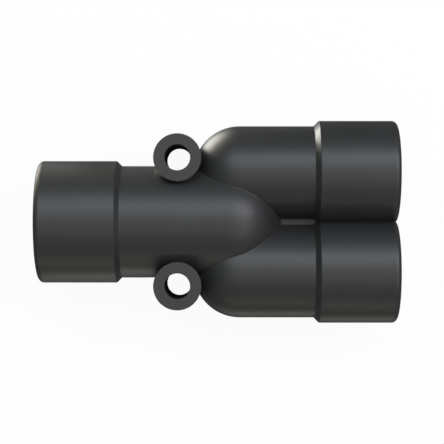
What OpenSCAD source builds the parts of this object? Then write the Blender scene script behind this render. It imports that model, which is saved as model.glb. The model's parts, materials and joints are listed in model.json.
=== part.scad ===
// Y fitting for rigid conduit: one inlet socket, two parallel branch sockets and
// two screw eyelets, injection moulded in one piece.
// The run lies along X, with the inlet at -X and the branches at +X. The branches
// sit side by side along Y, and the eyelet holes run along Z.

/* [Conduit] */
// Outside diameter of the conduit that goes into the inlet
inlet_conduit_d = 20; // [19.4:0.1:20.4]
// Outside diameter of the conduits that go into the branches
branch_conduit_d = 16; // [15:0.1:16.4]
// Clearance on the diameter between a conduit and its socket
conduit_play = 0.2; // [0.1:0.05:0.4]
// How far a conduit goes in before it meets its stop
socket_depth = 15.45; // [13:0.05:18]

/* [Run] */
// Outside diameter of the inlet socket
inlet_socket_d = 24.1; // [23.5:0.1:25]
// Outside diameter of the neck behind the inlet socket
neck_d = 22.1; // [21.3:0.1:22.5]
// Length of the neck from its shoulder to the centre of its domed end
neck_length = 20.4; // [18:0.1:24]

/* [Branches] */
// Outside diameter of the branch sockets
branch_socket_d = 20.5; // [20:0.1:21.4]
// Outside diameter of the tubes behind the branch sockets
tube_d = 18.4; // [17.9:0.1:18.9]
// Distance between the two branch axes
branch_spacing = 19.5; // [19:0.05:19.9]
// Length of a branch tube from the centre of its domed end to its shoulder
tube_length = 14.6; // [13:0.1:18]
// Distance along the run from the centre of the neck's dome to the branch domes'
dome_lead = 2.9; // [2:0.1:5]
// Thickness of the web that fills the slit between the two tubes
web_thickness = 1.6; // [1:0.1:3]

/* [Walls and edges] */
// Wall of the neck and of the branch tubes
wall = 1.95; // [1.5:0.05:2.3]
// Radius of the rounding round the outside of each mouth
mouth_round = 1.1; // [0.6:0.05:1.3]
// Lead-in chamfer inside each mouth
lead_in = 0.4; // [0.2:0.05:0.6]

/* [Eyelets] */
// Diameter of the screw hole
screw_hole_d = 5; // [4:0.1:5.4]
// Outside diameter of an eyelet
eyelet_d = 9.25; // [8.6:0.05:10]
// Height of an eyelet, half above and half below the run's axis
eyelet_height = 18.8; // [16:0.1:20]
// Distance between the two screw holes
eyelet_spacing = 24.85; // [24.4:0.05:26]
// Distance from the centre of the neck's dome back to the screw holes
eyelet_setback = 9.25; // [8.2:0.05:10.4]

/* [Hidden] */
$fn = 96;

// Outside radii
inlet_socket_r = inlet_socket_d / 2;
neck_r = neck_d / 2;
branch_socket_r = branch_socket_d / 2;
tube_r = tube_d / 2;

// Inside radii
inlet_bore_r = (inlet_conduit_d + conduit_play) / 2;
branch_bore_r = (branch_conduit_d + conduit_play) / 2;
neck_bore_r = neck_r - wall;
tube_bore_r = tube_r - wall;

// The shoulders between socket and tube are 45 degree cones, and each conduit
// stops level with the socket end of its cone.
inlet_cone = inlet_socket_r - neck_r;
branch_cone = branch_socket_r - tube_r;

// Places along the run, with the middle of the whole length at zero
overall_length = socket_depth + inlet_cone + neck_length + dome_lead
               + tube_length + branch_cone + socket_depth;
inlet_mouth_x = -overall_length / 2;
neck_dome_x = inlet_mouth_x + socket_depth + inlet_cone + neck_length;
tube_dome_x = neck_dome_x + dome_lead;
branch_mouth_x = overall_length / 2;
branch_y = branch_spacing / 2;
eyelet_x = neck_dome_x - eyelet_setback;
eyelet_y = eyelet_spacing / 2;

// How far a cut runs past the face that it opens
overrun = 1;

// A quarter disc that closes a tube's profile with a dome, centred on the axis
module dome_profile(r) {
    intersection() {
        circle(r);
        square(r);
    }
}

// Half section of a socket and its tube: radius along X, and the distance from
// the mouth along Y. It ends in a dome of the tube's own radius.
module outer_profile(socket_r, r, cone, length) {
    polygon([
        [0, 0],
        [socket_r - mouth_round, 0],
        [socket_r, mouth_round],
        [socket_r, socket_depth],
        [r, socket_depth + cone],
        [r, socket_depth + cone + length],
        [0, socket_depth + cone + length]
    ]);
    translate([socket_r - mouth_round, mouth_round])
        circle(mouth_round);
    translate([0, socket_depth + cone + length])
        dome_profile(r);
}

// Half section of the way through: lead-in, socket bore, stop and passage
module inner_profile(bore_r, r, cone, length) {
    polygon([
        [0, -overrun],
        [bore_r + lead_in + overrun, -overrun],
        [bore_r, lead_in],
        [bore_r, socket_depth],
        [r, socket_depth],
        [r, socket_depth + cone + length],
        [0, socket_depth + cone + length]
    ]);
    translate([0, socket_depth + cone + length])
        dome_profile(r);
}

// Turns a half section about the run, with its mouth at the inlet end
module from_inlet() {
    translate([inlet_mouth_x, 0, 0])
        rotate([0, 90, 0])
            rotate_extrude()
                children();
}

// Turns a half section about both branch axes, with its mouth at the branch end
module from_branches() {
    for (side = [-1, 1])
        translate([branch_mouth_x, side * branch_y, 0])
            rotate([0, -90, 0])
                rotate_extrude()
                    children();
}

// Outside of the run and of both branches
module outer_tubes() {
    from_inlet()
        outer_profile(inlet_socket_r, neck_r, inlet_cone, neck_length);
    from_branches()
        outer_profile(branch_socket_r, tube_r, branch_cone, tube_length);
}

// The cores: one from the inlet and two from the branches, meeting in the middle
module passages() {
    from_inlet()
        inner_profile(inlet_bore_r, neck_bore_r, inlet_cone, neck_length);
    from_branches()
        inner_profile(branch_bore_r, tube_bore_r, branch_cone, tube_length);
}

// Flat web that closes the slit between the branch tubes, rooted in both walls
module web() {
    web_length = dome_lead + tube_length + branch_cone;
    translate([neck_dome_x, -branch_y + tube_bore_r, -web_thickness / 2])
        cube([web_length, branch_spacing - 2 * tube_bore_r, web_thickness]);
}

// One eyelet, its height halved by the plane of the axes
module eyelet() {
    cylinder(d = eyelet_d, h = eyelet_height, center = true);
}

// The screw hole of one eyelet
module screw_hole() {
    cylinder(d = screw_hole_d, h = eyelet_height + 2 * overrun, center = true);
}

// Puts its children at both eyelets
module at_eyelets() {
    for (side = [-1, 1])
        translate([eyelet_x, side * eyelet_y, 0])
            children();
}

// The whole fitting, moulded in one piece
module fitting_body() {
    color([0.13, 0.135, 0.14])
        difference() {
            union() {
                outer_tubes();
                web();
                at_eyelets()
                    eyelet();
            }
            passages();
            at_eyelets()
                screw_hole();
        }
}

fitting_body();
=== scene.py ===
# %% [markdown]
# # A black plastic Y fitting for conduit
#
# The real object is one injection moulding: a wide socket on the left, a neck,
# two narrower branches with sockets of their own on the right, and a round
# screw eyelet on each side of the neck. Its solid comes ready-made and true to
# size, so this lesson gives it its moulded plastic, a floor, soft studio light
# and a camera that looks straight down on it.

import json
import math

import bmesh
import bpy
from mathutils import Matrix, Vector


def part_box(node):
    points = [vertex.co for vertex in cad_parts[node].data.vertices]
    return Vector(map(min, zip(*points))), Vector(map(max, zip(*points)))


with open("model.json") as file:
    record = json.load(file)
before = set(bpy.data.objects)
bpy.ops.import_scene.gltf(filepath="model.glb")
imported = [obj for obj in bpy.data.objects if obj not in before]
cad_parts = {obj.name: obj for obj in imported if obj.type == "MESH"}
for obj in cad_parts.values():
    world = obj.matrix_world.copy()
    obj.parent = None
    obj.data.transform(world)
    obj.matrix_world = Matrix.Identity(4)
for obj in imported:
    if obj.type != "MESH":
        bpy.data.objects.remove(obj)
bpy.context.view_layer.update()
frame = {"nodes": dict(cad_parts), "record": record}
fitting = frame["nodes"]["fitting_body"]
low, high = (Vector(corner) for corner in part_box("fitting_body"))
MM = 0.001
print("fitting, mm:", [round(side / MM, 2) for side in high - low])

# %% [markdown]
# ## Colours and nodes
#
# Colours are written as sRGB hex values, the way a paint program shows them.
# Shaders work in linear light, so one function turns a hex value to linear.
# A second small function adds a node, sets its inputs and joins its links,
# which keeps each material short enough to read at one go.

# %% Two helpers
def linear(hex_colour):
    """Turns an sRGB hex colour such as "#808080" to linear RGBA."""
    parts = [int(hex_colour[i:i + 2], 16) / 255 for i in (1, 3, 5)]
    return tuple(
        p / 12.92 if p <= 0.04045 else ((p + 0.055) / 1.055) ** 2.4 for p in parts
    ) + (1.0,)


def add_node(tree, kind, links=(), inputs=(), **settings):
    """Adds a node; links and inputs are pairs of a socket's name and a value."""
    node = tree.nodes.new(kind)
    for name, value in settings.items():
        setattr(node, name, value)
    for name, value in inputs:
        node.inputs[name].default_value = value
    for name, socket in links:
        tree.links.new(socket, node.inputs[name])
    return node


print("mid grey in linear light:", round(linear("#808080")[0], 3))

# %% [markdown]
# ## The moulded plastic: tone
#
# Fittings like this are injection moulded in black PVC. The mould's steel is
# finished with fine grit and not polished, so the plastic comes out satin: it
# shows soft, wide highlights and no sharp mirror images.
#
# The colour could be one flat value, but a real moulding varies a little in
# tone where the melt flowed and cooled, over about a centimetre. One soft noise
# gives that, and a slight change of gloss with it. A grit finish on PVC has a
# roughness of about 0.4.

# %% Material: tone of black moulded PVC
FLOW_SIZE = 9 * MM
DARKER, LIGHTER = "#252627", "#29292a"
GLOSSIER, DULLER = 0.40, 0.44

pvc = bpy.data.materials.new("black_moulded_pvc")
pvc.use_nodes = True
tree = pvc.node_tree
tree.nodes.clear()
place = add_node(tree, "ShaderNodeTexCoord")
flow = add_node(
    tree, "ShaderNodeTexNoise",
    links=[("Vector", place.outputs["Object"])],
    inputs=[("Scale", 1 / FLOW_SIZE), ("Detail", 2.0), ("Roughness", 0.5)],
)
tone = add_node(
    tree, "ShaderNodeMix", data_type="RGBA",
    links=[("Factor", flow.outputs["Fac"])],
)
tone.inputs["A"].default_value = linear(DARKER)
tone.inputs["B"].default_value = linear(LIGHTER)
sheen = add_node(
    tree, "ShaderNodeMapRange",
    links=[("Value", flow.outputs["Fac"])],
    inputs=[("To Min", GLOSSIER), ("To Max", DULLER)],
)
print("tone varies over", FLOW_SIZE / MM, "mm")

# %% [markdown]
# ## The moulded plastic: grain and edges
#
# The grit's print in the surface is finer than the eye can tell apart, so it is
# drawn a little coarser, as a bump of about 0.35 mm grain. And no edge comes out
# of a mould quite sharp. The Bevel node rounds every edge for the light, by
# 0.2 mm, and leaves the shape alone. Its normal goes into the bump, which adds
# the grain to it.

# %% Material: grain and edges
GRAIN_SIZE = 0.35 * MM
GRAIN_DEPTH = 0.02 * MM
GRAIN_STRENGTH = 0.12
EDGE_RADIUS = 0.2 * MM

grain = add_node(
    tree, "ShaderNodeTexNoise",
    links=[("Vector", place.outputs["Object"])],
    inputs=[("Scale", 1 / GRAIN_SIZE), ("Detail", 3.0), ("Roughness", 0.6)],
)
edges = add_node(tree, "ShaderNodeBevel", samples=8, inputs=[("Radius", EDGE_RADIUS)])
bump = add_node(
    tree, "ShaderNodeBump",
    links=[("Height", grain.outputs["Fac"]), ("Normal", edges.outputs["Normal"])],
    inputs=[("Strength", GRAIN_STRENGTH), ("Distance", GRAIN_DEPTH)],
)
print("grain of", round(GRAIN_SIZE / MM, 2), "mm, edges of", EDGE_RADIUS / MM, "mm")

# %% [markdown]
# ## The moulded plastic: inside the screw holes
#
# The steel pins that core the screw holes are left as they were turned, so the
# plastic inside the holes is duller than the rest. The frame's record holds the
# place and the radius of each hole. The distance of a point from a hole's axis
# tells whether it lies on the wall of the hole: the sign of Y is dropped, so one
# distance serves both holes. Painting a mask by hand would need a UV map.

# %% Material: inside the screw holes
HOLE_ROUGHNESS = 0.9
WALL_MARGIN = 0.01 * MM

hole = next(m for m in frame["record"]["mounts"] if m["name"] == "eyelet_left")
hole_x, hole_y, _ = hole["pos_m"]
hole_reach = hole["dims"]["r_mm"] * MM + WALL_MARGIN

where = add_node(
    tree, "ShaderNodeSeparateXYZ", links=[("Vector", place.outputs["Object"])]
)
beside = add_node(
    tree, "ShaderNodeMath", operation="ABSOLUTE", links=[(0, where.outputs["Y"])]
)
flat = add_node(
    tree, "ShaderNodeCombineXYZ",
    links=[("X", where.outputs["X"]), ("Y", beside.outputs[0])],
)
away = add_node(
    tree, "ShaderNodeVectorMath", operation="DISTANCE",
    links=[(0, flat.outputs["Vector"])], inputs=[(1, (hole_x, hole_y, 0))],
)
in_hole = add_node(
    tree, "ShaderNodeMath", operation="LESS_THAN",
    links=[(0, away.outputs["Value"])], inputs=[(1, hole_reach)],
)
dull = add_node(
    tree, "ShaderNodeMix", data_type="FLOAT",
    links=[("Factor", in_hole.outputs[0]), ("A", sheen.outputs["Result"])],
    inputs=[("B", HOLE_ROUGHNESS)],
)
print("dull inside", round(hole_reach / MM, 2), "mm of a hole's axis")

# %% [markdown]
# ## The moulded plastic: shader
#
# One Principled BSDF takes all of it. PVC is no metal, and its refractive index
# is about 1.5, so only the tone and the roughness had to be matched to the
# picture.

# %% Material: shader
PVC_IOR = 1.5

plastic = add_node(
    tree, "ShaderNodeBsdfPrincipled",
    links=[
        ("Base Color", tone.outputs["Result"]),
        ("Roughness", dull.outputs["Result"]),
        ("Normal", bump.outputs["Normal"]),
    ],
    inputs=[("IOR", PVC_IOR), ("Metallic", 0.0)],
)
add_node(tree, "ShaderNodeOutputMaterial", links=[("Surface", plastic.outputs["BSDF"])])

fitting.data.materials.clear()
fitting.data.materials.append(pvc)
print("the fitting wears", fitting.data.materials[0].name)

# %% [markdown]
# ## A white ground, without more light
#
# The background could be made white by more light, but that would wash out the
# dark plastic. The Light Path node offers another way: a share of plain white is
# mixed in for the rays that come straight from the camera, or through something
# clear, and a smaller share for reflections. One function serves both the floor
# and the air behind it.

# %% White for the camera
REFLECTED_SHARE = 0.05


def white_share(tree, ray, seen):
    """Gives the share of plain white: seen for the camera, little for a mirror."""
    straight = add_node(
        tree, "ShaderNodeMath", operation="ADD", use_clamp=True,
        links=[
            (0, ray.outputs["Is Camera Ray"]),
            (1, ray.outputs["Is Transmission Ray"]),
        ],
    )
    straight = add_node(
        tree, "ShaderNodeMath", operation="MULTIPLY",
        links=[(0, straight.outputs[0])], inputs=[(1, seen)],
    )
    both = add_node(
        tree, "ShaderNodeMath", operation="MULTIPLY_ADD", use_clamp=True,
        links=[(0, ray.outputs["Is Glossy Ray"]), (2, straight.outputs[0])],
        inputs=[(1, REFLECTED_SHARE)],
    )
    return both.outputs[0]


print("white in reflections:", REFLECTED_SHARE)

# %% [markdown]
# ## Floor
#
# A sheet of paper lies under the fitting, as on a table in a product studio. The
# camera sees it in pale paper colour with a large share of plain white over it,
# and the rest of it still takes the fitting's soft shadow. Light that bounces
# sees a grey sheet, which keeps the underside and the rims of the tubes as dark
# as they are in the picture. A grid of one face is all the shape it needs.

# %% Floor
FLOOR_HALF_WIDTH = 1.5
PAPER_SEEN, PAPER_BOUNCED = "#f2f2f2", "#666666"
SEEN_SHARE = 0.94

sheet = bmesh.new()
bmesh.ops.create_grid(
    sheet, x_segments=1, y_segments=1, size=FLOOR_HALF_WIDTH,
    matrix=Matrix.Translation((0, 0, low.z)),
)
mesh = bpy.data.meshes.new("studio_floor")
sheet.to_mesh(mesh)
sheet.free()
floor = bpy.data.objects.new("studio_floor", mesh)
bpy.context.scene.collection.objects.link(floor)

paper = bpy.data.materials.new("studio_paper")
paper.use_nodes = True
tree = paper.node_tree
tree.nodes.clear()
ray = add_node(tree, "ShaderNodeLightPath")
shade = add_node(
    tree, "ShaderNodeMix", data_type="RGBA",
    links=[("Factor", ray.outputs["Is Camera Ray"])],
)
shade.inputs["A"].default_value = linear(PAPER_BOUNCED)
shade.inputs["B"].default_value = linear(PAPER_SEEN)
diffuse = add_node(
    tree, "ShaderNodeBsdfDiffuse", links=[("Color", shade.outputs["Result"])]
)
white = add_node(tree, "ShaderNodeEmission", inputs=[("Strength", 1.0)])
mixed = add_node(
    tree, "ShaderNodeMixShader",
    links=[
        ("Fac", white_share(tree, ray, SEEN_SHARE)),
        (1, diffuse.outputs["BSDF"]),
        (2, white.outputs["Emission"]),
    ],
)
add_node(tree, "ShaderNodeOutputMaterial", links=[("Surface", mixed.outputs["Shader"])])
floor.data.materials.append(paper)
print("floor, m:", round(floor.dimensions.x, 2), "at z, mm:", round(low.z / MM, 2))

# %% [markdown]
# ## World
#
# The air works in the same way as the floor: the camera sees it white, and it
# fills the shadows with a weak, even light that is hardly tinted.

# %% World
AIR_COLOUR = "#f8fff2"
AIR_STRENGTH = 0.24

world = bpy.data.worlds.new("studio_air")
bpy.context.scene.world = world
world.use_nodes = True
tree = world.node_tree
tree.nodes.clear()
ray = add_node(tree, "ShaderNodeLightPath")
air = add_node(
    tree, "ShaderNodeBackground",
    inputs=[("Color", linear(AIR_COLOUR)), ("Strength", AIR_STRENGTH)],
)
white = add_node(
    tree, "ShaderNodeBackground",
    inputs=[("Color", linear("#ffffff")), ("Strength", 1.0)],
)
mixed = add_node(
    tree, "ShaderNodeMixShader",
    links=[
        ("Fac", white_share(tree, ray, 1.0)),
        (1, air.outputs["Background"]),
        (2, white.outputs["Background"]),
    ],
)
add_node(tree, "ShaderNodeOutputWorld", links=[("Surface", mixed.outputs["Shader"])])
print("strength of the air's light:", AIR_STRENGTH)

# %% [markdown]
# ## Large lamps
#
# Dark satin plastic shows its shape by the lamps that it mirrors, so each lamp
# has a job. The place of the large ones is given as on a map: an azimuth, counted
# from the right of the picture round towards its top, and a height in degrees.
#
# - A wide softbox above the top of the picture draws the long pale band along
#   every tube.
# - A square softbox at the right puts the round highlight on the neck's dome.
# - A sheet overhead, a fill at the right and a low warm one at the bottom light
#   the rest.

# %% Large lamps
CENTRE = (0, 0, 0)
FAR = 0.8


def place_on_map(azimuth, height, distance):
    """Gives the place at a distance from the centre, at two angles in degrees."""
    a, h = math.radians(azimuth), math.radians(height)
    way = Vector((math.cos(h) * math.cos(a), math.cos(h) * math.sin(a), math.sin(h)))
    return distance * way


def add_lamp(name, place, target, size, power, colour, spread=180):
    """Hangs a rectangular area lamp at a place and turns it to a target."""
    data = bpy.data.lights.new(name, "AREA")
    data.shape = "RECTANGLE"
    data.size, data.size_y = size
    data.energy = power
    data.color = linear(colour)[:3]
    data.spread = math.radians(spread)
    lamp = bpy.data.objects.new(name, data)
    bpy.context.scene.collection.objects.link(lamp)
    lamp.location = place
    way = Vector(place) - Vector(target)
    lamp.rotation_euler = way.to_track_quat("Z", "Y").to_euler()
    lamp.visible_camera = False


# Azimuth and height in degrees, size in metres, power in watts
for name, azimuth, height, size, power, colour in [
    ("top_softbox", 92, 57, (0.80, 0.40), 3.17, "#e7f3ff"),
    ("right_softbox", 30, 43, (0.38, 0.36), 2.55, "#f7f6ff"),
    ("overhead_sheet", 90, 90, (0.80, 0.80), 1.46, "#fff9f2"),
    ("right_fill", 340, 48, (0.40, 0.30), 0.75, "#fff9f4"),
    ("low_fill", 270, 8, (0.90, 0.14), 0.63, "#fff6e4"),
]:
    add_lamp(name, place_on_map(azimuth, height, FAR), CENTRE, size, power, colour)

# %% [markdown]
# ## Small lamps
#
# The small ones stand a few centimetres from the fitting, most of them low on the
# table, and send their light out within a narrow angle. Those at the upper left
# catch the inlet's mouth and flank, the branch's dome and its shoulder, which
# face them, and mostly pass the long sides of the tubes. The two strips at the
# bottom draw the lower rims.

# %% Small lamps
# Place, target and size in millimetres, power in milliwatts, spread in degrees
for name, place, target, size, power, colour, spread in [
    ("mouth_card", (-46, 20, -6), (-35, 8, 4), (34, 14), 0.88, "#fffaf6", 58),
    ("flank_card", (-44, 22, 3), (-33, 8, 7), (40, 12), 0.68, "#fff5d6", 58),
    ("dome_card", (-14, 28, -6), (-1.5, 15.5, 6), (26, 14), 1.17, "#fffff7", 50),
    ("shoulder_card", (4.5, 30.5, -10), (18.5, 19.5, 3), (12, 9), 0.42, "#fffdf6", 40),
    ("rim_strip", (-27, 38, -8), (-5, 12, 3), (70, 6), 0.75, "#ffefd1", 50),
    ("low_strip", (5, -34, -9), (5, -12, 0), (90, 5), 0.41, "#fffff2", 60),
    ("inlet_strip", (-22, -22, -9.5), (-22, -11, 3), (34, 9), 0.030, "#fff9f5", 60),
]:
    add_lamp(
        name, MM * Vector(place), MM * Vector(target),
        [MM * side for side in size], MM * power, colour, spread,
    )

# %% [markdown]
# ## Camera
#
# The picture is taken from straight above, with the run of the fitting across
# the frame. A long lens from 30 cm away keeps the tubes nearly parallel.

# %% Camera
CAMERA_PLACE = (0.81 * MM, -0.03 * MM, 303.4 * MM)
NEAREST_SEEN = 10 * MM
# Blender takes these two in millimetres
LENS = 123.94
SENSOR_WIDTH = 36.0

data = bpy.data.cameras.new("camera")
data.lens = LENS
data.sensor_width = SENSOR_WIDTH
data.clip_start = NEAREST_SEEN
camera = bpy.data.objects.new("camera", data)
bpy.context.scene.collection.objects.link(camera)
camera.location = CAMERA_PLACE
bpy.context.scene.camera = camera
bpy.context.scene.view_settings.view_transform = "Standard"
print("view angle, degrees:", round(math.degrees(data.angle), 2))
